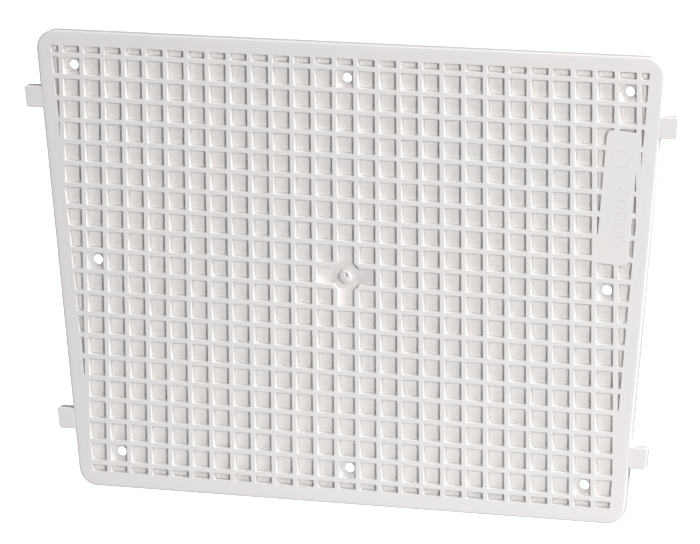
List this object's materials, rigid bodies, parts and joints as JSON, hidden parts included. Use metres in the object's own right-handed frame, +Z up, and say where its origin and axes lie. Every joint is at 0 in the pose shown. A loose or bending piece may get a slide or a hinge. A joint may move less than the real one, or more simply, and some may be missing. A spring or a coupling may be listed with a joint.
{
  "type": "ribbed transom pad",
  "caption": "White moulded plate, wider at the top, with a square grid of ribs on its front, countersunk screw holes, side lugs and a flat label pad.",
  "frame": {"origin": "centre of the flat back face", "axes": "+Y out of the back face, -Y out of the ribbed front, +X to the right as seen from the front, +Z up towards the wider edge"},
  "size_m": [0.4586, 0.0075, 0.3186],
  "materials": {
    "white_plastic": "injection-moulded white polypropylene, fine satin mould texture, soft sheen"
  },
  "bodies": {
    "root": {"rim_frame": "white_plastic", "waffle_panel": "white_plastic", "screw_boss_top_left": "white_plastic", "screw_boss_top_middle": "white_plastic", "screw_boss_top_right": "white_plastic", "screw_boss_middle_left": "white_plastic", "screw_boss_middle_right": "white_plastic", "screw_boss_bottom_left": "white_plastic", "screw_boss_bottom_middle": "white_plastic", "screw_boss_bottom_right": "white_plastic", "side_lug_upper_left": "white_plastic", "side_lug_lower_left": "white_plastic", "side_lug_upper_right": "white_plastic", "side_lug_lower_right": "white_plastic", "label_pad": "white_plastic", "gate_boss": "white_plastic"}
  },
  "joints": []
}
